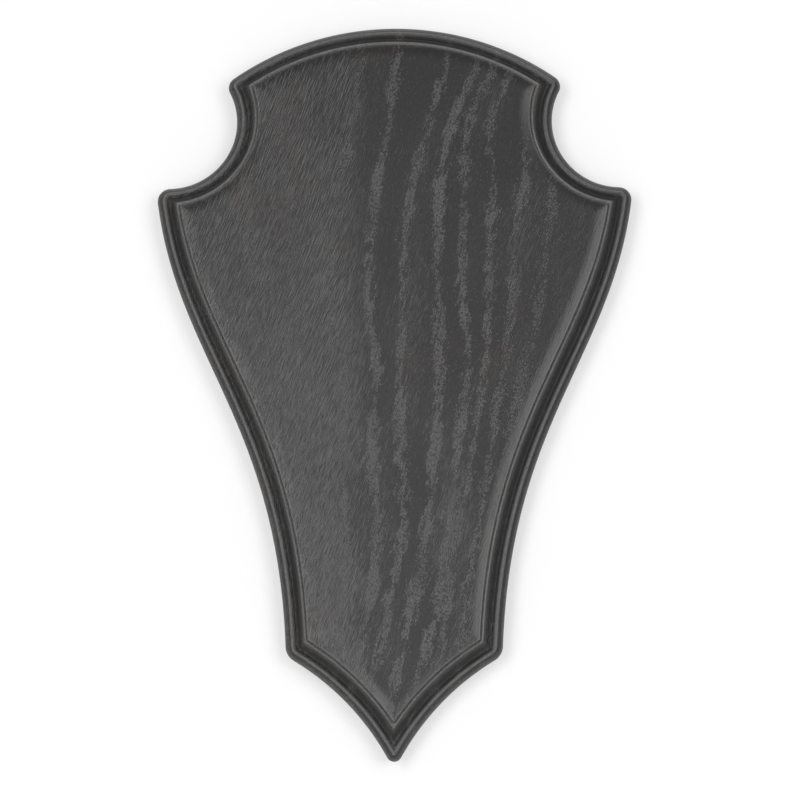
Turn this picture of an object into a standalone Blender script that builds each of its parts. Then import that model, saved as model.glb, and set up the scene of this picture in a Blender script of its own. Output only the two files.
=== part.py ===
"""Shield-shaped wall plaque for a pair of roe antlers: one board of oak, its edge moulded, stained black."""

import math

import bmesh
import bpy
from mathutils import Vector

# The plaque hangs upright: x runs across it, z up, and the face looks towards -y.
# Its back lies in the plane y = 0, with the origin in the middle of the back.

# Corners of the outline before they are rounded: distance from the centre line, and drop from the crown's top
EAR_HALF_WIDTH = 0.0531
EAR_DROP = 0.0180
HORN_HALF_WIDTH = 0.0744
HORN_DROP = 0.0510
SHOULDER_HALF_WIDTH = 0.0331
SHOULDER_DROP = 0.1978
POINT_DROP = 0.2328
ORIGIN_DROP = 0.1150

# How deep the hollow arcs bend into the board: the scoop from ear to horn, and the tail from shoulder to point
SCOOP_DEPTH = 0.0132
TAIL_DEPTH = 0.0037

# The flank is one long curve: how steeply it leaves the horn and reaches the shoulder, and how far each pull carries
HORN_LEAN = math.radians(5.6)
HORN_PULL = 0.0541
SHOULDER_LEAN = math.radians(1.7)
SHOULDER_PULL = 0.0746

# Rounding of the corners, seen from the front
EAR_ROUND = 0.0036
HORN_ROUND = 0.0040
SHOULDER_ROUND = 0.0052
POINT_ROUND = 0.0024

# The board, and the moulding that runs round its face, from the outline inwards
THICKNESS = 0.0150
BACK_EDGE_ROUND = 0.0006
SIDE_LEAN = 0.0012
BEAD_WIDTH = 0.00175
BEAD_DEPTH = 0.00205
BEAD_SHOULDER = 0.00085
LIP_STEP_WIDTH = 0.0001
LIP_STEP = 0.0005
LIP_WIDTH = 0.00045
LIP_ROUND = 0.00055
LIP_TOP = 0.00055
VALLEY_WIDTH = 0.0013
VALLEY_DEPTH = 0.00055
COVE_WIDTH = 0.0025
COVE_DEPTH = 0.0042
COVE_FLOOR_WIDTH = 0.0018
COVE_FLOOR_RISE = 0.00075
QUIRK_WIDTH = 0.00085
QUIRK_DEPTH = 0.0003
FIELD_STEP_WIDTH = 0.0001
FIELD_STEP = 0.00155
FIELD_EDGE_ROUND = 0.0003

# The keyhole slot routed into the back, which drops over the head of a wall screw. The plaque hangs
# with the screw at the slot's upper end, this far below the crown's top; the entry is the travel below that.
HANGER_DROP = 0.0420
HANGER_TRAVEL = 0.0110
ENTRY_RADIUS = 0.0050
ENTRY_DEPTH = 0.0085
NECK_RADIUS = 0.0023
HEAD_RADIUS = 0.0045
HEAD_DEPTH = 0.0080
HANGER_LIP = 0.0030
CUT_OVERLAP = 0.0010

# How finely the curves are cut into straight pieces
CROWN_PIECES = 30
SCOOP_PIECES = 14
FLANK_PIECES = 20
POINT_PIECES = 10
CORNER_PIECES = 5
BEAD_PIECES = 4
COVE_PIECES = 6
EDGE_PIECES = 2
HALF_ROUND_PIECES = 14

STAINED_OAK = (0.021, 0.020, 0.019, 1.0)
STAINED_OAK_ROUGHNESS = 0.45
SHARP_ANGLE = math.radians(38)

# Working values of the geometry: how near two points count as one, and how the crossing of two runs is found
MERGE_DISTANCE = 1e-6
CROSSING_ROUNDS = 25
NUDGE = 1e-5


def right_of(direction):
    """The unit vector to the right of a direction; on a clockwise outline it points into the board."""
    return Vector((direction.y, -direction.x)).normalized()


def arc(start, end, rise, hollow=False):
    """A clockwise run of the outline along a circle that rises above its chord; a hollow arc bends into the board."""
    chord = end - start
    side = -1.0 if hollow else 1.0
    half_sweep = 2 * math.atan(rise / (chord.length / 2))
    radius = chord.length / 2 / math.sin(half_sweep)
    outwards = right_of(chord) * -side
    centre = (start + end) / 2 - outwards * (radius - rise)

    def at(share):
        turn = side * half_sweep * (1 - 2 * share)
        spoke = Vector(
            (
                outwards.x * math.cos(turn) - outwards.y * math.sin(turn),
                outwards.x * math.sin(turn) + outwards.y * math.cos(turn),
            )
        )
        return centre + spoke * radius, spoke * -side

    return at


def sweep(start, start_pull, end_pull, end):
    """A clockwise run of the outline along a cubic curve."""

    def at(share):
        rest = 1 - share
        point = (
            start * rest**3
            + start_pull * 3 * rest**2 * share
            + end_pull * 3 * rest * share**2
            + end * share**3
        )
        heading = (
            (start_pull - start) * rest**2
            + (end_pull - start_pull) * 2 * rest * share
            + (end - end_pull) * share**2
        )
        return point, right_of(heading)

    return at


def mirrored(run):
    """The same run on the other side of the centre line, still clockwise."""

    def at(share):
        point, inwards = run(1 - share)
        return Vector((-point.x, point.y)), Vector((-inwards.x, inwards.y))

    return at


def shifted(run, share, inset):
    """A point of a run, moved into the board by the inset."""
    point, inwards = run(share)
    return point + inwards * inset


def crossing(before, after, inset):
    """Where two neighbouring runs cross once both are moved inwards: the share reached on each."""
    share_before = 1.0
    share_after = 0.0
    for _ in range(CROSSING_ROUNDS):
        here = shifted(before, share_before, inset)
        there = shifted(after, share_after, inset)
        gap = there - here
        along = (shifted(before, share_before + NUDGE, inset) - here) / NUDGE
        across = (there - shifted(after, share_after + NUDGE, inset)) / NUDGE
        area = along.cross(across)
        share_before += gap.cross(across) / area
        share_after += along.cross(gap) / area
    return share_before, share_after


def outline_runs():
    """The runs of the outline, clockwise from the left ear, each with its pieces and the rounding at its end."""
    crown_top = ORIGIN_DROP
    ear = Vector((EAR_HALF_WIDTH, crown_top - EAR_DROP))
    horn = Vector((HORN_HALF_WIDTH, crown_top - HORN_DROP))
    shoulder = Vector((SHOULDER_HALF_WIDTH, crown_top - SHOULDER_DROP))
    point = Vector((0.0, crown_top - POINT_DROP))

    horn_pull = horn + Vector((-math.sin(HORN_LEAN), -math.cos(HORN_LEAN))) * HORN_PULL
    shoulder_pull = shoulder + Vector((math.sin(SHOULDER_LEAN), math.cos(SHOULDER_LEAN))) * SHOULDER_PULL

    crown = arc(Vector((-ear.x, ear.y)), ear, EAR_DROP)
    scoop = arc(ear, horn, SCOOP_DEPTH, hollow=True)
    flank = sweep(horn, horn_pull, shoulder_pull, shoulder)
    tail = arc(shoulder, point, TAIL_DEPTH, hollow=True)
    return (
        (crown, CROWN_PIECES, EAR_ROUND),
        (scoop, SCOOP_PIECES, HORN_ROUND),
        (flank, FLANK_PIECES, SHOULDER_ROUND),
        (tail, POINT_PIECES, POINT_ROUND),
        (mirrored(tail), POINT_PIECES, SHOULDER_ROUND),
        (mirrored(flank), FLANK_PIECES, HORN_ROUND),
        (mirrored(scoop), SCOOP_PIECES, EAR_ROUND),
    )


def ring(runs, inset):
    """The outline moved inwards by the inset, as points; past a corner's rounding its runs meet in a mitre."""
    corners = []
    for index, (run, _, rounding) in enumerate(runs):
        following = runs[(index + 1) % len(runs)][0]
        corners.append(crossing(run, following, max(rounding, inset)))

    points = []
    for index, (run, pieces, rounding) in enumerate(runs):
        first = corners[index - 1][1]
        last = corners[index][0]
        for step in range(pieces + 1):
            share = first + (last - first) * step / pieces
            points.append(shifted(run, share, inset))

        following = runs[(index + 1) % len(runs)][0]
        leaving = run(last)[1]
        turn = leaving.angle_signed(following(corners[index][1])[1])
        centre = shifted(run, last, max(rounding, inset))
        for step in range(1, CORNER_PIECES):
            angle = -turn * step / CORNER_PIECES
            spoke = Vector(
                (
                    leaving.x * math.cos(angle) - leaving.y * math.sin(angle),
                    leaving.x * math.sin(angle) + leaving.y * math.cos(angle),
                )
            )
            points.append(centre - spoke * max(rounding - inset, 0.0))
    return points


def quarter(start, end, pieces, steep_first):
    """Points along a quarter of an ellipse from start to end, without the start itself."""
    points = []
    for step in range(1, pieces + 1):
        angle = math.pi / 2 * step / pieces
        if steep_first:
            shares = (1 - math.cos(angle), math.sin(angle))
        else:
            shares = (math.sin(angle), 1 - math.cos(angle))
        points.append(
            (
                start[0] + (end[0] - start[0]) * shares[0],
                start[1] + (end[1] - start[1]) * shares[1],
            )
        )
    return points


def bend(start, corner, end, pieces):
    """Points along a curve that leaves start towards the corner and comes to end from it, without the start."""
    points = []
    for step in range(1, pieces + 1):
        share = step / pieces
        leaving = Vector(start).lerp(Vector(corner), share)
        coming = Vector(corner).lerp(Vector(end), share)
        points.append(tuple(leaving.lerp(coming, share)))
    return points


def moulding():
    """The section of the edge, as pairs of inset from the outline and height above the back."""
    wall_top = (
        THICKNESS
        - FIELD_EDGE_ROUND
        - FIELD_STEP
        + QUIRK_DEPTH
        - COVE_DEPTH
        + VALLEY_DEPTH
        - LIP_ROUND
        - LIP_STEP
        - BEAD_DEPTH
    )

    # the side wall leans in towards the back
    section = [(SIDE_LEAN + BACK_EDGE_ROUND, 0.0)]
    section += quarter(section[-1], (SIDE_LEAN, BACK_EDGE_ROUND), EDGE_PIECES, steep_first=False)
    section.append((0.0, wall_top))

    # the outer bead, the small step behind it, and the round lip on top of the step
    bead_end = (BEAD_WIDTH, wall_top + BEAD_DEPTH)
    section += bend(section[-1], (0.0, wall_top + BEAD_SHOULDER), bead_end, BEAD_PIECES)
    section.append((bead_end[0] + LIP_STEP_WIDTH, bead_end[1] + LIP_STEP))
    lip = (section[-1][0] + LIP_WIDTH, section[-1][1] + LIP_ROUND)
    section += quarter(section[-1], lip, EDGE_PIECES, steep_first=True)

    # the lip rolls over into a narrow valley, and the cove climbs out of it, ever steeper
    valley = (lip[0] + VALLEY_WIDTH, lip[1] - VALLEY_DEPTH)
    section += bend(lip, (lip[0] + LIP_TOP, lip[1]), valley, EDGE_PIECES)
    cove_floor = (valley[0] + COVE_FLOOR_WIDTH, valley[1] + COVE_FLOOR_RISE)
    cove_top = (valley[0] + COVE_WIDTH, valley[1] + COVE_DEPTH)
    section += bend(valley, cove_floor, cove_top, COVE_PIECES)

    # a narrow quirk falls towards the last step, which goes up to the field
    quirk = (cove_top[0] + QUIRK_WIDTH, cove_top[1] - QUIRK_DEPTH)
    section.append(quirk)
    field_foot = (quirk[0] + FIELD_STEP_WIDTH, quirk[1] + FIELD_STEP)
    section.append(field_foot)
    field_edge = (field_foot[0] + FIELD_EDGE_ROUND, THICKNESS)
    section += quarter(field_foot, field_edge, EDGE_PIECES, steep_first=True)
    return section


def plaque_mesh():
    """One closed board: flat back, moulded edge and flat field."""
    runs = outline_runs()
    shape = bmesh.new()
    loops = []
    for inset, height in moulding():
        loops.append([shape.verts.new((p.x, -height, p.y)) for p in ring(runs, inset)])
    for lower, upper in zip(loops, loops[1:]):
        for index in range(len(lower)):
            shape.faces.new((lower[index - 1], lower[index], upper[index], upper[index - 1]))
    shape.faces.new(loops[0])
    shape.faces.new(reversed(loops[-1]))
    bmesh.ops.remove_doubles(shape, verts=shape.verts, dist=MERGE_DISTANCE)
    bmesh.ops.recalc_face_normals(shape, faces=shape.faces)

    mesh = bpy.data.meshes.new("plaque")
    shape.to_mesh(mesh)
    shape.free()
    mesh.shade_smooth()
    mesh.set_sharp_from_angle(angle=SHARP_ANGLE)
    return mesh


def routed_slot(name, radius, travel, shallow, deep):
    """A cutter with round ends: its lower end on the slot's entry, its travel upwards, between two depths."""
    entry = ORIGIN_DROP - HANGER_DROP - HANGER_TRAVEL
    outline = []
    for centre, first in ((entry, math.pi), (entry + travel, 0.0)):
        for step in range(HALF_ROUND_PIECES + 1):
            angle = first + math.pi * step / HALF_ROUND_PIECES
            outline.append((radius * math.cos(angle), centre + radius * math.sin(angle)))
    shape = bmesh.new()
    mouth = shape.faces.new([shape.verts.new((x, -shallow, z)) for x, z in outline])
    grown = bmesh.ops.extrude_face_region(shape, geom=[mouth])["geom"]
    floor = [item for item in grown if isinstance(item, bmesh.types.BMVert)]
    bmesh.ops.translate(shape, verts=floor, vec=(0.0, shallow - deep, 0.0))
    bmesh.ops.remove_doubles(shape, verts=shape.verts, dist=MERGE_DISTANCE)
    bmesh.ops.recalc_face_normals(shape, faces=shape.faces)
    mesh = bpy.data.meshes.new(name)
    shape.to_mesh(mesh)
    shape.free()
    cutter = bpy.data.objects.new(name, mesh)
    cutter.hide_render = True
    cutter.display_type = "WIRE"
    return cutter


def hanger_cutters():
    """The drilled entry, the narrow neck and the wider channel for the screw's head."""
    return (
        routed_slot("hanger_entry", ENTRY_RADIUS, 0.0, -CUT_OVERLAP, ENTRY_DEPTH),
        routed_slot("hanger_neck", NECK_RADIUS, HANGER_TRAVEL, -CUT_OVERLAP, HANGER_LIP + CUT_OVERLAP),
        routed_slot("hanger_head", HEAD_RADIUS, HANGER_TRAVEL, HANGER_LIP, HEAD_DEPTH),
    )


def stained_oak():
    """Open-grained oak under a black satin stain."""
    material = bpy.data.materials.new("black_stained_oak")
    material.use_nodes = True
    shader = material.node_tree.nodes["Principled BSDF"]
    shader.inputs["Base Color"].default_value = STAINED_OAK
    shader.inputs["Roughness"].default_value = STAINED_OAK_ROUGHNESS
    shader.inputs["Metallic"].default_value = 0.0
    return material


for leftover in list(bpy.data.objects):
    bpy.data.objects.remove(leftover, do_unlink=True)

plaque = bpy.data.objects.new("plaque", plaque_mesh())
plaque.data.materials.append(stained_oak())
bpy.context.scene.collection.objects.link(plaque)
for cutter in hanger_cutters():
    bpy.context.scene.collection.objects.link(cutter)
    cut = plaque.modifiers.new(cutter.name, "BOOLEAN")
    cut.operation = "DIFFERENCE"
    cut.solver = "EXACT"
    cut.object = cutter
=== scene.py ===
"""A shield-shaped plaque for a pair of roe antlers: black-stained oak with a moulded edge, on a pale wall."""

import math

import bmesh
import bpy
from mathutils import Matrix, Vector, kdtree, noise


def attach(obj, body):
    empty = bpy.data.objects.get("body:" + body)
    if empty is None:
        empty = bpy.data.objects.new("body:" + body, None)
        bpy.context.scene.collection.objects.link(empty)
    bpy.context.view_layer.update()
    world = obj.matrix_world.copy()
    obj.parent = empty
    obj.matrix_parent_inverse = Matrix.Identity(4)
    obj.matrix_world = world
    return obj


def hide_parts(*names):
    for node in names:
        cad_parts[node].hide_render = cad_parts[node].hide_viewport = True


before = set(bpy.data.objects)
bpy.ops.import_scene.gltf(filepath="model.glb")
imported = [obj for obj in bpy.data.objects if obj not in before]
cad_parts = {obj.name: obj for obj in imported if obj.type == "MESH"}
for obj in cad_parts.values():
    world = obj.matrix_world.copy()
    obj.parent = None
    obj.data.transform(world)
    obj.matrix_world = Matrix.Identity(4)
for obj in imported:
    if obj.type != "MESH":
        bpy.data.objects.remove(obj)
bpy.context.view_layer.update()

MM = 0.001

# The board: one piece of oak, 15 mm thick, sawn to the shield's outline. The outline is drawn on the back from the
# crown's top: a crown arc, two hollow scoops, two long flanks, and two hollow arcs that meet in the point.
EAR_HALF_WIDTH = 53.1 * MM
EAR_DROP = 18.0 * MM
HORN_HALF_WIDTH = 74.4 * MM
HORN_DROP = 51.0 * MM
SHOULDER_HALF_WIDTH = 33.1 * MM
SHOULDER_DROP = 197.8 * MM
POINT_DROP = 232.8 * MM
CROWN_TOP = 115.0 * MM
SCOOP_DEPTH = 13.2 * MM
TAIL_DEPTH = 3.7 * MM
HORN_LEAN = math.radians(5.6)
HORN_PULL = 54.1 * MM
SHOULDER_LEAN = math.radians(1.7)
SHOULDER_PULL = 74.6 * MM
EAR_ROUND = 3.6 * MM
HORN_ROUND = 4.0 * MM
SHOULDER_ROUND = 5.2 * MM
POINT_ROUND = 2.4 * MM
THICKNESS = 15.0 * MM

CROWN_PIECES = 84
SCOOP_PIECES = 34
FLANK_PIECES = 100
TAIL_PIECES = 30
CORNER_PIECES = 10
CROSSING_ROUNDS = 25
NUDGE = 1e-5
TOUCHING = 1e-6


def right_of(direction):
    """The unit vector to the right of a direction; on a clockwise outline it points into the board."""
    return Vector((direction.y, -direction.x)).normalized()


def turned(spoke, angle):
    """A flat vector turned by an angle."""
    return Vector(
        (
            spoke.x * math.cos(angle) - spoke.y * math.sin(angle),
            spoke.x * math.sin(angle) + spoke.y * math.cos(angle),
        )
    )


def arc(start, end, rise, hollow=False):
    """A clockwise run along a circle that rises above its chord; a hollow arc bends into the board."""
    chord = end - start
    side = -1.0 if hollow else 1.0
    half_sweep = 2 * math.atan(rise / (chord.length / 2))
    radius = chord.length / 2 / math.sin(half_sweep)
    outwards = right_of(chord) * -side
    centre = (start + end) / 2 - outwards * (radius - rise)

    def at(share):
        spoke = turned(outwards, side * half_sweep * (1 - 2 * share))
        return centre + spoke * radius, spoke * -side

    return at


def sweep(start, start_pull, end_pull, end):
    """A clockwise run along a cubic curve."""

    def at(share):
        rest = 1 - share
        point = (
            start * rest**3
            + start_pull * 3 * rest**2 * share
            + end_pull * 3 * rest * share**2
            + end * share**3
        )
        heading = (
            (start_pull - start) * rest**2
            + (end_pull - start_pull) * 2 * rest * share
            + (end - end_pull) * share**2
        )
        return point, right_of(heading)

    return at


def mirrored(run):
    """The same run on the other side of the centre line, still clockwise."""

    def at(share):
        point, inwards = run(1 - share)
        return Vector((-point.x, point.y)), Vector((-inwards.x, inwards.y))

    return at


def shifted(run, share, inset):
    """A point of a run, moved into the board by the inset."""
    point, inwards = run(share)
    return point + inwards * inset


def crossing(before, after, inset):
    """Where two neighbouring runs cross once both are moved inwards: the share reached on each."""
    share_before = 1.0
    share_after = 0.0
    for _ in range(CROSSING_ROUNDS):
        here = shifted(before, share_before, inset)
        there = shifted(after, share_after, inset)
        gap = there - here
        along = (shifted(before, share_before + NUDGE, inset) - here) / NUDGE
        across = (there - shifted(after, share_after + NUDGE, inset)) / NUDGE
        area = along.cross(across)
        share_before += gap.cross(across) / area
        share_after += along.cross(gap) / area
    return share_before, share_after


ear = Vector((EAR_HALF_WIDTH, CROWN_TOP - EAR_DROP))
horn = Vector((HORN_HALF_WIDTH, CROWN_TOP - HORN_DROP))
shoulder = Vector((SHOULDER_HALF_WIDTH, CROWN_TOP - SHOULDER_DROP))
point = Vector((0.0, CROWN_TOP - POINT_DROP))
horn_pull = horn + Vector((-math.sin(HORN_LEAN), -math.cos(HORN_LEAN))) * HORN_PULL
shoulder_pull = shoulder + Vector((math.sin(SHOULDER_LEAN), math.cos(SHOULDER_LEAN))) * SHOULDER_PULL

crown = arc(Vector((-ear.x, ear.y)), ear, EAR_DROP)
scoop = arc(ear, horn, SCOOP_DEPTH, hollow=True)
flank = sweep(horn, horn_pull, shoulder_pull, shoulder)
tail = arc(shoulder, point, TAIL_DEPTH, hollow=True)
outline = (
    (crown, CROWN_PIECES, EAR_ROUND),
    (scoop, SCOOP_PIECES, HORN_ROUND),
    (flank, FLANK_PIECES, SHOULDER_ROUND),
    (tail, TAIL_PIECES, POINT_ROUND),
    (mirrored(tail), TAIL_PIECES, SHOULDER_ROUND),
    (mirrored(flank), FLANK_PIECES, HORN_ROUND),
    (mirrored(scoop), SCOOP_PIECES, EAR_ROUND),
)


def ring(inset):
    """The outline moved inwards by the inset, as points; past a corner's rounding its runs meet in a mitre."""
    corners = []
    for index, (run, _, rounding) in enumerate(outline):
        following = outline[(index + 1) % len(outline)][0]
        corners.append(crossing(run, following, max(rounding, inset)))

    points = []
    for index, (run, pieces, rounding) in enumerate(outline):
        first = corners[index - 1][1]
        last = corners[index][0]
        for step in range(pieces + 1):
            points.append(shifted(run, first + (last - first) * step / pieces, inset))

        following = outline[(index + 1) % len(outline)][0]
        leaving = run(last)[1]
        turn = leaving.angle_signed(following(corners[index][1])[1])
        centre = shifted(run, last, max(rounding, inset))
        for step in range(1, CORNER_PIECES):
            spoke = turned(leaving, -turn * step / CORNER_PIECES)
            points.append(centre - spoke * max(rounding - inset, 0.0))
    return points


# The moulding: cutters run round the edge leave a side that leans in to the back, a rounded bead, a small step, a
# round lip, a steepening cove and a narrow quirk below the field. A paler stain on its arrises is a painted
# highlight.
BACK_RIM = 0.8 * MM
BACK_EDGE_ROUND = 0.6 * MM
SIDE_LEAN = 1.2 * MM
WALL_TOP = 6.7 * MM
BEAD_WIDTH = 1.75 * MM
BEAD_DEPTH = 2.05 * MM
BEAD_SHOULDER = 0.85 * MM
LIP_STEP_WIDTH = 0.1 * MM
LIP_STEP = 0.5 * MM
LIP_WIDTH = 0.45 * MM
LIP_ROUND = 0.55 * MM
LIP_TOP = 0.55 * MM
VALLEY_WIDTH = 1.3 * MM
VALLEY_DEPTH = 0.55 * MM
COVE_WIDTH = 2.5 * MM
COVE_DEPTH = 4.2 * MM
COVE_FLOOR_WIDTH = 1.8 * MM
COVE_FLOOR_RISE = 0.75 * MM
QUIRK_WIDTH = 0.85 * MM
QUIRK_DEPTH = 0.3 * MM
FIELD_STEP_WIDTH = 0.1 * MM
FIELD_EDGE_ROUND = 0.3 * MM
FIELD_EDGE_SAG = 0.45 * MM
ARRIS_EASE = 0.16 * MM
# How far and how strongly the painted highlight, a paler stain, reaches from the bead, the lip, the cove top and the
# field's edge.
BEAD_HIGHLIGHT = (1.70 * MM, 0.45)
LIP_HIGHLIGHT = (0.60 * MM, 1.0)
COVE_HIGHLIGHT = (3.2 * MM, 0.70)
FIELD_EDGE_HIGHLIGHT = (0.40 * MM, 0.25)

WALL_PIECES = 4
BEAD_PIECES = 8
LIP_PIECES = 5
VALLEY_PIECES = 5
COVE_PIECES = 14
EDGE_PIECES = 3


def quarter(start, end, pieces, steep_first):
    """Points along a quarter of an ellipse from start to end, without the start itself."""
    points = []
    for step in range(1, pieces + 1):
        angle = math.pi / 2 * step / pieces
        across = 1 - math.cos(angle) if steep_first else math.sin(angle)
        up = math.sin(angle) if steep_first else 1 - math.cos(angle)
        points.append((start[0] + (end[0] - start[0]) * across, start[1] + (end[1] - start[1]) * up))
    return points


def bend(start, corner, end, pieces):
    """Points along a curve that leaves start towards the corner and comes to end from it, without the start."""
    points = []
    for step in range(1, pieces + 1):
        share = step / pieces
        leaving = Vector(start).lerp(Vector(corner), share)
        coming = Vector(corner).lerp(Vector(end), share)
        points.append(tuple(leaving.lerp(coming, share)))
    return points


def eased(before, corner, after):
    """Points of a small rounding at a corner, touching the sides that come to it and leave it."""
    corner = Vector(corner)
    come = Vector(before) - corner
    leave = Vector(after) - corner
    start = corner + come.normalized() * min(ARRIS_EASE, come.length / 2)
    end = corner + leave.normalized() * min(ARRIS_EASE, leave.length / 2)
    return [tuple(start)] + bend(start, corner, end, EDGE_PIECES)


def moulding():
    """The section of the edge from the back to the field, as pairs of inset and height, and the arrises that carry a
    painted highlight.
    """
    section = [(SIDE_LEAN + BACK_EDGE_ROUND + BACK_RIM, 0.0), (SIDE_LEAN + BACK_EDGE_ROUND, 0.0)]
    section += quarter(section[-1], (SIDE_LEAN, BACK_EDGE_ROUND), EDGE_PIECES, steep_first=False)
    side_foot = Vector(section[-1])
    wall_top = Vector((0.0, WALL_TOP))
    section += [tuple(side_foot.lerp(wall_top, step / WALL_PIECES)) for step in range(1, WALL_PIECES + 1)]

    bead_end = (BEAD_WIDTH, WALL_TOP + BEAD_DEPTH)
    section += bend(section[-1], (0.0, WALL_TOP + BEAD_SHOULDER), bead_end, BEAD_PIECES)
    lip_foot = (bead_end[0] + LIP_STEP_WIDTH, bead_end[1] + LIP_STEP)
    section.append(lip_foot)
    lip = (lip_foot[0] + LIP_WIDTH, lip_foot[1] + LIP_ROUND)
    section += quarter(lip_foot, lip, LIP_PIECES, steep_first=True)
    valley = (lip[0] + VALLEY_WIDTH, lip[1] - VALLEY_DEPTH)
    section += bend(lip, (lip[0] + LIP_TOP, lip[1]), valley, VALLEY_PIECES)

    cove_floor = (valley[0] + COVE_FLOOR_WIDTH, valley[1] + COVE_FLOOR_RISE)
    cove_top = (valley[0] + COVE_WIDTH, valley[1] + COVE_DEPTH)
    quirk = (cove_top[0] + QUIRK_WIDTH, cove_top[1] - QUIRK_DEPTH)
    section += bend(valley, cove_floor, cove_top, COVE_PIECES)[:-1]
    section += eased(section[-1], cove_top, quirk)
    section.append(quirk)
    field_edge_height = THICKNESS - FIELD_EDGE_SAG
    field_foot = (quirk[0] + FIELD_STEP_WIDTH, field_edge_height - FIELD_EDGE_ROUND)
    section.append(field_foot)
    field_edge = (field_foot[0] + FIELD_EDGE_ROUND, field_edge_height)
    section += quarter(field_foot, field_edge, EDGE_PIECES, steep_first=True)
    lip_shoulder = ((lip_foot[0] + lip[0]) / 2, (lip_foot[1] + lip[1]) / 2)
    bead = (0.0, WALL_TOP + BEAD_SHOULDER)
    return section, ((bead, BEAD_HIGHLIGHT), (lip_shoulder, LIP_HIGHLIGHT), (cove_top, COVE_HIGHLIGHT), (field_edge, FIELD_EDGE_HIGHLIGHT))


def painted_highlight_at(inset, height, arrises):
    """How much painted highlight, a paler stain, the finish carries at a place of the section: most on an arris,
    falling to 0 a little way from it.
    """
    most = 0.0
    for arris, (reach, strength) in arrises:
        most = max(most, strength * (1 - math.dist((inset, height), arris) / reach))
    return most


def closed_loop(shape, points, height):
    """A closed loop of edges through the points, at a height above the back."""
    verts = [shape.verts.new((p.x, -height, p.y)) for p in points]
    return verts, [shape.edges.new((verts[i - 1], verts[i])) for i in range(len(verts))]


section, arrises = moulding()
board = bmesh.new()
place = board.verts.layers.int.new("place")
# A layer for the painted highlight: paler stain standing in for light caught on the arrises.
painted_highlight = board.verts.layers.float.new("painted_highlight")
verts, edges = closed_loop(board, ring(section[0][0]), section[0][1])
for index, vert in enumerate(verts):
    vert[place] = index
bmesh.ops.contextual_create(board, geom=edges)
for inset, height in section[1:]:
    points = ring(inset)
    grown = bmesh.ops.extrude_edge_only(board, edges=edges)["geom"]
    edges = [item for item in grown if isinstance(item, bmesh.types.BMEdge)]
    for vert in (item for item in grown if isinstance(item, bmesh.types.BMVert)):
        p = points[vert[place]]
        vert.co = (p.x, -height, p.y)
        # A painted highlight on the arrises of the moulding.
        vert[painted_highlight] = painted_highlight_at(inset, height, arrises)
bmesh.ops.contextual_create(board, geom=edges)
board.verts.layers.int.remove(place)
bmesh.ops.remove_doubles(board, verts=board.verts, dist=TOUCHING)
bmesh.ops.recalc_face_normals(board, faces=board.faces)


# The keyhole slot: routed into the back so that the plaque drops over the head of a wall screw. A drilled entry
# lets the head in, a narrow neck runs up from it, and a wider channel behind the neck's lips holds the head.
HANGER_DROP = 42.0 * MM
HANGER_TRAVEL = 11.0 * MM
ENTRY_RADIUS = 5.0 * MM
ENTRY_DEPTH = 8.5 * MM
NECK_RADIUS = 2.3 * MM
HEAD_RADIUS = 4.5 * MM
HEAD_DEPTH = 8.0 * MM
HANGER_LIP = 3.0 * MM
CUT_OVERLAP = 1.0 * MM
HALF_ROUND_PIECES = 24


def routed_slot(name, radius, travel, shallow, deep):
    """A cutter with round ends: its lower end on the slot's entry, its travel upwards, between two depths."""
    entry = CROWN_TOP - HANGER_DROP - HANGER_TRAVEL
    points = []
    for centre, first in ((entry, math.pi), (entry + travel, 0.0)):
        for step in range(HALF_ROUND_PIECES + 1):
            spoke = turned(Vector((radius, 0.0)), first + math.pi * step / HALF_ROUND_PIECES)
            points.append(Vector((0.0, centre)) + spoke)
    shape = bmesh.new()
    _, rim = closed_loop(shape, points, shallow)
    mouth = bmesh.ops.contextual_create(shape, geom=rim)["faces"]
    grown = bmesh.ops.extrude_face_region(shape, geom=mouth)["geom"]
    floor = [item for item in grown if isinstance(item, bmesh.types.BMVert)]
    bmesh.ops.translate(shape, verts=floor, vec=(0.0, shallow - deep, 0.0))
    bmesh.ops.remove_doubles(shape, verts=shape.verts, dist=TOUCHING)
    bmesh.ops.recalc_face_normals(shape, faces=shape.faces)
    mesh = bpy.data.meshes.new(name)
    shape.to_mesh(mesh)
    shape.free()
    cutter = bpy.data.objects.new(name, mesh)
    bpy.context.scene.collection.objects.link(cutter)
    return cutter


blank_mesh = bpy.data.meshes.new("blank")
board.to_mesh(blank_mesh)
board.free()
blank = bpy.data.objects.new("blank", blank_mesh)
bpy.context.scene.collection.objects.link(blank)
cutters = (
    routed_slot("hanger_entry", ENTRY_RADIUS, 0.0, -CUT_OVERLAP, ENTRY_DEPTH),
    routed_slot("hanger_neck", NECK_RADIUS, HANGER_TRAVEL, -CUT_OVERLAP, HANGER_LIP + CUT_OVERLAP),
    routed_slot("hanger_head", HEAD_RADIUS, HANGER_TRAVEL, HANGER_LIP, HEAD_DEPTH),
)
for cutter in cutters:
    cut = blank.modifiers.new(cutter.name, "BOOLEAN")
    cut.operation = "DIFFERENCE"
    cut.solver = "EXACT"
    cut.object = cutter
routed = bpy.data.meshes.new_from_object(blank.evaluated_get(bpy.context.evaluated_depsgraph_get()))
for used in (blank, *cutters):
    bpy.data.objects.remove(used, do_unlink=True)


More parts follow.
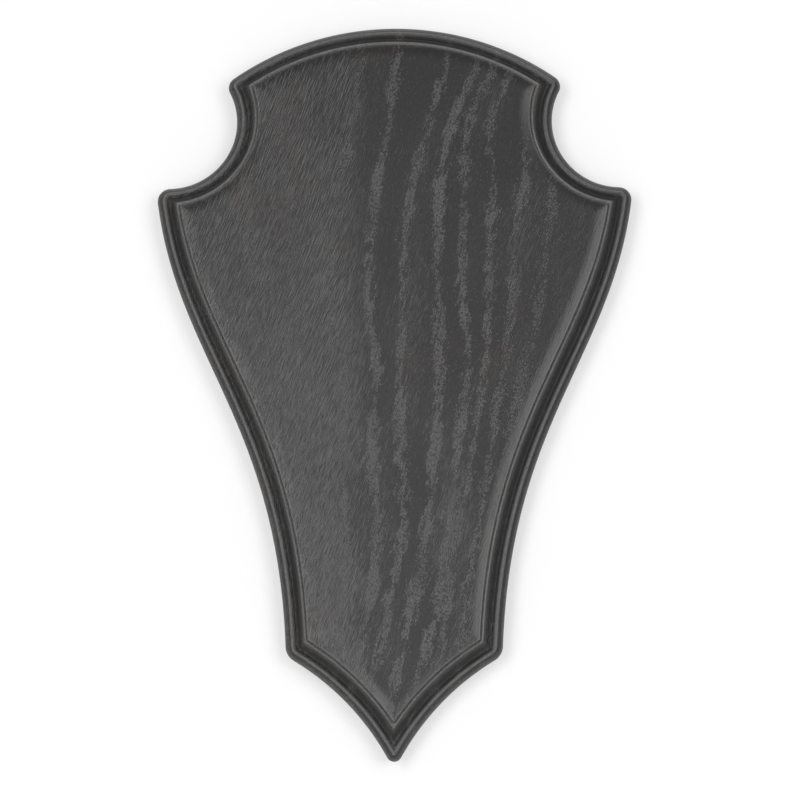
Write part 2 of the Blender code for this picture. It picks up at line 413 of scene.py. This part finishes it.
# The grain: plain-sawn oak, brushed so that the soft early wood of each year's ring stands open as short slanting
# pores, while the dense late wood between stays smooth. Each growth line is where a ring's early wood meets the face.
GROWTH_DROPS = (12.0, 30.0, 50.0, 68.0, 90.0, 112.0, 135.0, 160.0, 185.0, 212.0)
GROWTH_LINES = (
    # places across the board in mm at those drops, then the band's width in mm and how open it is
    ((-48.6, -46.6, -45.6, -44.6, -42.6, -40.6, -38.6, -36.6, -36.6, -36.6), 3.4, 0.55),
    ((-36.6, -34.6, -33.1, -31.6, -30.6, -29.6, -28.6, -27.6, -26.6, -26.6), 3.2, 0.55),
    ((-10.1, -12.6, -16.6, -19.1, -19.3, -14.8, -14.8, -14.1, -15.6, -19.1), 3.0, 0.80),
    ((0.8, -1.1, -5.6, -6.9, -7.0, -5.0, -6.2, -4.5, -7.6, -13.1), 3.2, 0.95),
    ((16.7, 12.4, 6.4, 3.6, 3.8, 1.8, 3.0, 2.8, -1.6, -7.6), 2.8, 0.95),
    ((26.4, 19.4, 14.2, 13.7, 13.4, 13.7, 12.7, 10.2, 5.4, -0.6), 3.2, 1.00),
    ((32.4, 23.9, 21.8, 21.4, 20.8, 22.6, 19.4, 16.4, 12.4, 5.4), 2.8, 0.90),
    ((38.4, 30.4, 30.4, 29.7, 29.4, 27.6, 24.4, 19.4, 15.4, 11.4), 2.8, 0.85),
    ((45.4, 41.9, 40.4, 37.4, 36.4, 33.4, 30.2, 25.4, 21.4, 18.4), 3.2, 0.75),
    ((57.4, 52.4, 49.4, 47.4, 45.1, 39.4, 35.4, 31.4, 29.4, 27.4), 3.6, 0.65),
)
PORE_LEAN = math.radians(20.0)
PORE_WIDTH = 0.60 * MM
PORE_LENGTH = 3.4 * MM
PORE_DEPTH = 0.07 * MM
DRIFT_SIZE = (6.0 * MM, 14.0 * MM)
DRIFT = 0.5
COARSE_PORES = 0.75
FINE_PORES = 0.4
FINE_PORE_WIDTH = 0.6
FINE_PORE_LENGTH = 0.45
PORE_CLIP = 0.5
WAVE_SIZE = (5.0 * MM, 40.0 * MM)
SURFACE_WAVE = 0.02 * MM

FRAY = 2.6 * MM
FINE_FRAY = 0.5
COARSE_FRAY_SIZE = (1.1 * MM, 6.0 * MM)
FINE_FRAY_SIZE = (0.7 * MM, 2.2 * MM)
WANDER_SIZE = (30.0 * MM, 22.0 * MM)
WANDER_MM = 1.2
SWELL_LENGTH_MM = 11.0
SWELL = 0.45
THIN_LENGTH_MM = 14.0
THIN_MEAN = 0.92
THIN_SWING = 0.50
BAND_CORE = 0.10
BAND_FADE = 1.60

LEFT_OPEN_FROM = 0.0 * MM
LEFT_OPEN_FULL = -22.0 * MM
LEFT_OPENNESS = 0.90
PATCH_SIZE = (9.0 * MM, 20.0 * MM)
PATCH_MEAN = 0.90
PATCH_SWING = 0.5
STRAY_SIZE = (12.0 * MM, 30.0 * MM)
STRAY_MEAN = 0.14
STRAY_SWING = 0.30


def smooth_step(low, high, value):
    """0 below low and 1 above high, with a soft rise between them."""
    share = min(max((value - low) / (high - low), 0.0), 1.0)
    return share * share * (3 - 2 * share)


def growth_line(places, drop):
    """Where a growth line stands across the board at a drop from the crown's top, both in mm."""
    last = len(GROWTH_DROPS) - 1
    index = 0
    while index < last - 1 and drop > GROWTH_DROPS[index + 1]:
        index += 1
    share = (drop - GROWTH_DROPS[index]) / (GROWTH_DROPS[index + 1] - GROWTH_DROPS[index])
    share = min(max(share, 0.0), 1.0)
    before = places[max(index - 1, 0)]
    start = places[index]
    end = places[index + 1]
    after = places[min(index + 2, last)]
    start_slope = (end - before) / 2
    end_slope = (after - start) / 2
    return (
        start * (1 + 2 * share) * (1 - share) ** 2
        + start_slope * share * (1 - share) ** 2
        + end * share**2 * (3 - 2 * share)
        + end_slope * share**2 * (share - 1)
    )


def along_pores(x, z):
    """Across and along the slanting pores."""
    across = x * math.cos(PORE_LEAN) - z * math.sin(PORE_LEAN)
    along = x * math.sin(PORE_LEAN) + z * math.cos(PORE_LEAN)
    return across, along


def waver(first, second, size, layer):
    """Smooth noise between -1 and 1 over a place on the face; each layer is a noise of its own."""
    return noise.noise(Vector((first / size[0], second / size[1], layer)))


def band_openness(x, z):
    """How open the grain is in the early wood of the growth lines, from 0 between them to about 1."""
    across, along = along_pores(x, z)
    coarse_fray = waver(across, along, COARSE_FRAY_SIZE, 3.1)
    fine_fray = waver(across, along, FINE_FRAY_SIZE, 7.9)
    wander = waver(x, z, WANDER_SIZE, 8.4)
    frayed_x = (x + (coarse_fray + FINE_FRAY * fine_fray) * FRAY) / MM + wander * WANDER_MM
    drop = (CROWN_TOP - z) / MM
    most = 0.0
    for index, (places, width, strength) in enumerate(GROWTH_LINES):
        swell = noise.noise(Vector((index * 5.7, drop / SWELL_LENGTH_MM, 1.3)))
        gap = abs(frayed_x - growth_line(places, drop)) / (width * (SWELL + SWELL * swell))
        thin = THIN_MEAN + THIN_SWING * noise.noise(Vector((index * 3.3 + 40, drop / THIN_LENGTH_MM, 6.0)))
        most = max(most, strength * thin * (1 - smooth_step(BAND_CORE, BAND_FADE, gap)))
    return min(max(most, 0.0), 1.0)


def hatch_openness(x, z):
    """How open the long fine pores are that fill the left of the board, where the saw cut the rings more steeply."""
    left = 1 - smooth_step(LEFT_OPEN_FULL, LEFT_OPEN_FROM, x)
    patchy = PATCH_MEAN + PATCH_SWING * waver(x, z, PATCH_SIZE, 12.2)
    stray = STRAY_MEAN + STRAY_SWING * waver(x, z, STRAY_SIZE, 17.0)
    return min(max(LEFT_OPENNESS * left * patchy, stray, 0.0), 1.0)


def pore_relief(x, z, open_share):
    """How deep the face lies below its smooth level at a place."""
    across, along = along_pores(x, z)
    drift = DRIFT * waver(across, along, DRIFT_SIZE, 5.5)
    coarse = noise.noise(Vector((across / PORE_WIDTH + drift, along / PORE_LENGTH, 0.0)))
    fine = waver(across, along, (PORE_WIDTH * FINE_PORE_WIDTH, PORE_LENGTH * FINE_PORE_LENGTH), 9.0)
    wave = waver(across, along, WAVE_SIZE, 2.0)
    pores = min(max(COARSE_PORES * coarse + FINE_PORES * fine, -PORE_CLIP), PORE_CLIP)
    return PORE_DEPTH * (0.5 + open_share * pores) + SURFACE_WAVE * (0.5 + 0.5 * wave)


# The field: the flat face inside the moulding, which carries the antlers. Its mesh is cut into cells that are long
# with the grain and narrow across it, so that the pores are real hollows in the face.
CELL_ACROSS = 0.30 * MM
CELL_ALONG = 0.90 * MM
SAND_OVER = 3.6 * MM
PORES_FROM_EDGE = 0.5 * MM
FACING_OUT = -0.999
SHARP_FROM = math.radians(50.0)


def sliced(shape, faces, axis, step, low, high):
    """The faces cut by planes across an axis, one step apart."""
    done = []
    normal = Vector((0.0, 0.0, 0.0))
    normal[axis] = 1.0
    for index in range(1, math.ceil((high - low) / step)):
        level = low + index * step
        on_plane = normal * level
        geometry = set(faces)
        for face in faces:
            geometry.update(face.edges)
            geometry.update(face.verts)
        cut = bmesh.ops.bisect_plane(shape, geom=list(geometry), dist=TOUCHING, plane_co=on_plane, plane_no=normal)
        pieces = [item for item in cut["geom"] if isinstance(item, bmesh.types.BMFace)]
        done += [face for face in pieces if face.calc_center_median()[axis] < level]
        faces = [face for face in pieces if face.calc_center_median()[axis] >= level]
    return done + faces


board = bmesh.new()
board.from_mesh(routed)
bpy.data.meshes.remove(routed)
painted_highlight = board.verts.layers.float["painted_highlight"]
open_grain = board.verts.layers.float.new("open_grain")
hatching = board.verts.layers.float.new("hatching")
moulded = board.verts.layers.float.new("moulded")
field = [max((f for f in board.faces if f.normal.y < FACING_OUT), key=lambda f: f.calc_area())]
rim_points = ring(section[-1][0])
field = sliced(board, field, 0, CELL_ACROSS, min(p.x for p in rim_points), max(p.x for p in rim_points))
field = sliced(board, field, 2, CELL_ALONG, min(p.y for p in rim_points), max(p.y for p in rim_points))

field_faces = set(field)
field_verts = {vert for face in field for vert in face.verts}
rim = [vert for vert in field_verts if any(face not in field_faces for face in vert.link_faces)]
rim_tree = kdtree.KDTree(len(rim))
for index, vert in enumerate(rim):
    rim_tree.insert(vert.co, index)
rim_tree.balance()
for vert in board.verts:
    planed_back = vert.co.y > -TOUCHING
    vert[open_grain] = 0.0 if planed_back else band_openness(vert.co.x, vert.co.z)
    vert[hatching] = 0.0 if planed_back else hatch_openness(vert.co.x, vert.co.z)
    vert[moulded] = 0.0 if vert in field_verts else 1.0
for vert in field_verts.difference(rim):
    from_edge = rim_tree.find(vert.co)[2]
    sanded = FIELD_EDGE_SAG * (1 - min(from_edge / SAND_OVER, 1.0)) ** 2
    open_share = max(vert[open_grain], vert[hatching])
    relief = pore_relief(vert.co.x, vert.co.z, open_share) * smooth_step(0.0, PORES_FROM_EDGE, from_edge)
    vert.co.y = -THICKNESS + sanded + relief
    # A painted highlight: a paler stain along the field's edge, fading inwards.
    vert[painted_highlight] = FIELD_EDGE_HIGHLIGHT[1] * max(1 - from_edge / FIELD_EDGE_HIGHLIGHT[0], 0.0)

board_mesh = bpy.data.meshes.new("oak_plaque")
board.to_mesh(board_mesh)
board.free()
board_mesh.shade_smooth()
board_mesh.set_sharp_from_angle(angle=SHARP_FROM)
plaque = bpy.data.objects.new("oak_plaque", board_mesh)
bpy.context.scene.collection.objects.link(plaque)


# The finish: a black water stain under a thin satin oil. The stain takes darkest in the smooth late wood, a little
# warm brown shows where it is thin, the open early wood stays grey and dull, and a paler stain on the arrises is a
# painted highlight.
LATE_WOOD = (0.0172, 0.0168, 0.0168, 1.0)
OPEN_WOOD = (0.1300, 0.1270, 0.1240, 1.0)
WARM_WOOD = (0.0280, 0.0190, 0.0175, 1.0)
# A paler grey painted on the arrises and the field's edge as a highlight.
HIGHLIGHT_WOOD = (0.1700, 0.1660, 0.1620, 1.0)
LATE_ROUGHNESS = 0.30
OPEN_ROUGHNESS = 0.42
MOULDED_ROUGHNESS = 0.36
HATCH_FINENESS = 2600.0
HATCH_STRETCH = 0.07
HATCH_DETAIL = 1.0
SPECK_FINENESS = 2400.0
SPECK_STRETCH = 0.50
SPECK_DETAIL = 3.0
NOISE_ROUGHNESS = 0.6
STROKES_WHERE_HATCHED = 0.22
SPECKS_IN_BANDS = 0.26
STROKE_RANGE = (0.70, 0.80, 0.0, 0.4)
SPECK_RANGE = (0.62, 0.84, 0.0, 0.65)
PATCH_FINENESS = 45.0
PATCH_DETAIL = 2.0
WARM_RANGE = (0.56, 0.74, 0.0, 0.5)
OPEN_TINT = 0.6
HIGHLIGHT_RANGE = (0.30, 0.60, 0.4, 1.0)
BUMP_DISTANCE = 0.26 * MM
SPECK_HEIGHT = 0.34
MOULDED_HEIGHT = 0.22


def add(tree, kind, **settings):
    """A new node with its settings."""
    made = tree.nodes.new(kind)
    for name, value in settings.items():
        setattr(made, name, value)
    return made


def ranged(tree, source, limits):
    """A value carried from one range to another, held at its ends; the limits are from, from, to and to."""
    low, high, to_low, to_high = limits
    made = add(tree, "ShaderNodeMapRange")
    made.inputs["From Min"].default_value = low
    made.inputs["From Max"].default_value = high
    made.inputs["To Min"].default_value = to_low
    made.inputs["To Max"].default_value = to_high
    tree.links.new(source, made.inputs["Value"])
    return made.outputs["Result"]


def combined(tree, operation, first, second):
    """Two values joined by a sum, product or other operation."""
    made = add(tree, "ShaderNodeMath", operation=operation)
    tree.links.new(first, made.inputs[0])
    if isinstance(second, float):
        made.inputs[1].default_value = second
    else:
        tree.links.new(second, made.inputs[1])
    return made.outputs["Value"]


def tinted(tree, share, base, colour):
    """The base colour with some of another colour in it; the base is a colour or another node's output."""
    made = add(tree, "ShaderNodeMix", data_type="RGBA")
    tree.links.new(share, made.inputs["Factor"])
    if isinstance(base, tuple):
        made.inputs["A"].default_value = base
    else:
        tree.links.new(base, made.inputs["A"])
    made.inputs["B"].default_value = colour
    return made.outputs["Result"]


def slanting_pores(tree, where, fineness, stretch, detail):
    """Noise drawn out along the slanting pores."""
    slant = add(tree, "ShaderNodeMapping", vector_type="TEXTURE")
    slant.inputs["Rotation"].default_value = (0.0, PORE_LEAN, 0.0)
    slant.inputs["Scale"].default_value = (1.0, 1.0, 1.0 / stretch)
    tree.links.new(where, slant.inputs["Vector"])
    pores = add(tree, "ShaderNodeTexNoise", noise_dimensions="3D")
    pores.inputs["Scale"].default_value = fineness
    pores.inputs["Detail"].default_value = detail
    pores.inputs["Roughness"].default_value = NOISE_ROUGHNESS
    tree.links.new(slant.outputs["Vector"], pores.inputs["Vector"])
    return pores.outputs["Fac"]


def stained_oak():
    """Black-stained oak: specks in the open bands, fine strokes in the hatched left, moulded edges, and a painted
    highlight on the arrises.
    """
    material = bpy.data.materials.new("black_stained_oak")
    material.use_nodes = True
    tree = material.node_tree
    link = tree.links.new
    shader = tree.nodes["Principled BSDF"]
    where = add(tree, "ShaderNodeTexCoord").outputs["Object"]
    bands = add(tree, "ShaderNodeAttribute", attribute_name="open_grain").outputs["Fac"]
    hatched = add(tree, "ShaderNodeAttribute", attribute_name="hatching").outputs["Fac"]
    # The painted highlight along the arrises.
    highlight_mask = add(tree, "ShaderNodeAttribute", attribute_name="painted_highlight").outputs["Fac"]
    moulded_edge = add(tree, "ShaderNodeAttribute", attribute_name="moulded").outputs["Fac"]

    strokes = slanting_pores(tree, where, HATCH_FINENESS, HATCH_STRETCH, HATCH_DETAIL)
    specks = slanting_pores(tree, where, SPECK_FINENESS, SPECK_STRETCH, SPECK_DETAIL)
    stroke_fill = combined(tree, "ADD", strokes, combined(tree, "MULTIPLY", hatched, STROKES_WHERE_HATCHED))
    speck_fill = combined(tree, "ADD", specks, combined(tree, "MULTIPLY", bands, SPECKS_IN_BANDS))
    stroke_share = ranged(tree, stroke_fill, STROKE_RANGE)
    speck_share = ranged(tree, speck_fill, SPECK_RANGE)
    open_share = combined(tree, "MAXIMUM", stroke_share, speck_share)

    patches = add(tree, "ShaderNodeTexNoise", noise_dimensions="3D")
    patches.inputs["Scale"].default_value = PATCH_FINENESS
    patches.inputs["Detail"].default_value = PATCH_DETAIL
    link(where, patches.inputs["Vector"])
    warm = ranged(tree, patches.outputs["Fac"], WARM_RANGE)

    colour = tinted(tree, warm, LATE_WOOD, WARM_WOOD)
    colour = tinted(tree, combined(tree, "MULTIPLY", open_share, OPEN_TINT), colour, OPEN_WOOD)
    # The painted highlight: a paler stain on the arrises, broken up by the specks.
    highlight_share = combined(tree, "MULTIPLY", highlight_mask, ranged(tree, specks, HIGHLIGHT_RANGE))
    colour = tinted(tree, highlight_share, colour, HIGHLIGHT_WOOD)
    link(colour, shader.inputs["Base Color"])

    dull = ranged(tree, open_share, (0.0, 1.0, LATE_ROUGHNESS, OPEN_ROUGHNESS))
    dull_edge = ranged(tree, moulded_edge, (0.0, 1.0, 0.0, MOULDED_ROUGHNESS))
    link(combined(tree, "MAXIMUM", dull, dull_edge), shader.inputs["Roughness"])

    speck_height = combined(tree, "MULTIPLY", specks, combined(tree, "MULTIPLY", speck_share, SPECK_HEIGHT))
    stroke_height = combined(tree, "MULTIPLY", strokes, hatched)
    edge_height = combined(tree, "MULTIPLY", specks, combined(tree, "MULTIPLY", moulded_edge, MOULDED_HEIGHT))
    height = combined(tree, "ADD", combined(tree, "ADD", speck_height, stroke_height), edge_height)
    bump = add(tree, "ShaderNodeBump")
    bump.inputs["Strength"].default_value = 1.0
    bump.inputs["Distance"].default_value = BUMP_DISTANCE
    link(height, bump.inputs["Height"])
    link(bump.outputs["Normal"], shader.inputs["Normal"])
    shader.inputs["Metallic"].default_value = 0.0
    return material


board_mesh.materials.clear()
board_mesh.materials.append(stained_oak())
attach(plaque, "root")
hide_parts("plaque")


# The room: the plaque lies flat against a white wall panel that glows evenly, which softens its shadow, above a plain
# pale floor. Neither is part of the object.
WALL_GAP = 0.3 * MM
WALL_HALF_SIZE = 0.70
FLOOR_LEVEL = -0.36
FLOOR_HALF_SIZE = 1.60
WALL_WHITE = (0.56, 0.56, 0.56, 1.0)
WALL_GLOW = 0.40
FLOOR_WHITE = (0.80, 0.80, 0.79, 1.0)
FLOOR_ROUGHNESS = 0.9


def stage_sheet(name, half_size, turn, place):
    """A flat square sheet that isn't part of the object; unturned, it faces up."""
    shape = bmesh.new()
    bmesh.ops.create_grid(
        shape,
        x_segments=1,
        y_segments=1,
        size=half_size,
        matrix=Matrix.Translation(place) @ Matrix.Rotation(turn, 4, "X"),
    )
    mesh = bpy.data.meshes.new(name)
    shape.to_mesh(mesh)
    shape.free()
    sheet = bpy.data.objects.new(name, mesh)
    bpy.context.scene.collection.objects.link(sheet)
    return sheet


def painted_wall():
    """Matt paint with a glow seen from the front, and nothing from behind, so that the plaque's back can be seen."""
    material = bpy.data.materials.new("painted_wall")
    material.use_nodes = True
    tree = material.node_tree
    link = tree.links.new
    paint = tree.nodes["Principled BSDF"]
    paint.inputs["Base Color"].default_value = WALL_WHITE
    paint.inputs["Roughness"].default_value = 1.0
    paint.inputs["Specular IOR Level"].default_value = 0.0
    paint.inputs["Emission Color"].default_value = (1.0, 1.0, 1.0, 1.0)
    paint.inputs["Emission Strength"].default_value = WALL_GLOW
    side = add(tree, "ShaderNodeNewGeometry")
    clear = add(tree, "ShaderNodeBsdfTransparent")
    chosen = add(tree, "ShaderNodeMixShader")
    link(side.outputs["Backfacing"], chosen.inputs["Fac"])
    link(paint.outputs["BSDF"], chosen.inputs[1])
    link(clear.outputs["BSDF"], chosen.inputs[2])
    link(chosen.outputs["Shader"], tree.nodes["Material Output"].inputs["Surface"])
    return material


def pale_floor():
    """Matt off-white."""
    material = bpy.data.materials.new("pale_floor")
    material.use_nodes = True
    paint = material.node_tree.nodes["Principled BSDF"]
    paint.inputs["Base Color"].default_value = FLOOR_WHITE
    paint.inputs["Roughness"].default_value = FLOOR_ROUGHNESS
    return material


wall = stage_sheet("wall", WALL_HALF_SIZE, math.pi / 2, (0.0, WALL_GAP, FLOOR_LEVEL + WALL_HALF_SIZE))
wall.data.materials.append(painted_wall())
floor = stage_sheet("floor", FLOOR_HALF_SIZE, 0.0, (0.0, 0.0, FLOOR_LEVEL))
floor.data.materials.append(pale_floor())


# The light: two tall soft studio boxes stand left and right of the camera, a faint strip hangs high above, and a dim
# even surround fills the shadows.
SURROUND = 0.28
SOFT_BOXES = (
    # name, place and size in m, and power in W
    ("left_box", (-0.51, -1.25, -0.09), (0.6, 1.0), 9.8),
    ("right_box", (0.62, -1.21, -0.05), (0.7, 1.0), 8.4),
    ("top_strip", (0.0, -0.14, 1.0), (1.2, 0.2), 1.6),
)


def soft_box(name, place_m, size_m, watts):
    """A rectangular area light aimed at the plaque."""
    data = bpy.data.lights.new(name, "AREA")
    data.shape = "RECTANGLE"
    data.size, data.size_y = size_m
    data.energy = watts
    lamp = bpy.data.objects.new(name, data)
    lamp.location = place_m
    lamp.rotation_euler = (-Vector(place_m)).to_track_quat("-Z", "Y").to_euler()
    bpy.context.scene.collection.objects.link(lamp)


for settings in SOFT_BOXES:
    soft_box(*settings)

world = bpy.data.worlds.new("surround")
world.use_nodes = True
world.node_tree.nodes["Background"].inputs["Color"].default_value = (1.0, 1.0, 1.0, 1.0)
world.node_tree.nodes["Background"].inputs["Strength"].default_value = SURROUND
bpy.context.scene.world = world
bpy.context.scene.view_settings.view_transform = "Standard"


# The camera: a long lens about 1.15 m away. It looks from 10 degrees below square on and hardly from the right, as
# the photograph was taken.
CAMERA_PLACE = (22.15 * MM, -1131.7 * MM, -201.7 * MM)
CAMERA_TARGET = (1.65 * MM, 0.0, -2.3 * MM)
LENS = 166.5
SENSOR_WIDTH = 36.0
NEAREST_SEEN = 0.01
camera_data = bpy.data.cameras.new("camera")
camera_data.lens = LENS
camera_data.sensor_width = SENSOR_WIDTH
camera_data.clip_start = NEAREST_SEEN
camera = bpy.data.objects.new("camera", camera_data)
camera.location = CAMERA_PLACE
camera.rotation_euler = (Vector(CAMERA_TARGET) - Vector(CAMERA_PLACE)).to_track_quat("-Z", "Y").to_euler()
bpy.context.scene.collection.objects.link(camera)
bpy.context.scene.camera = camera
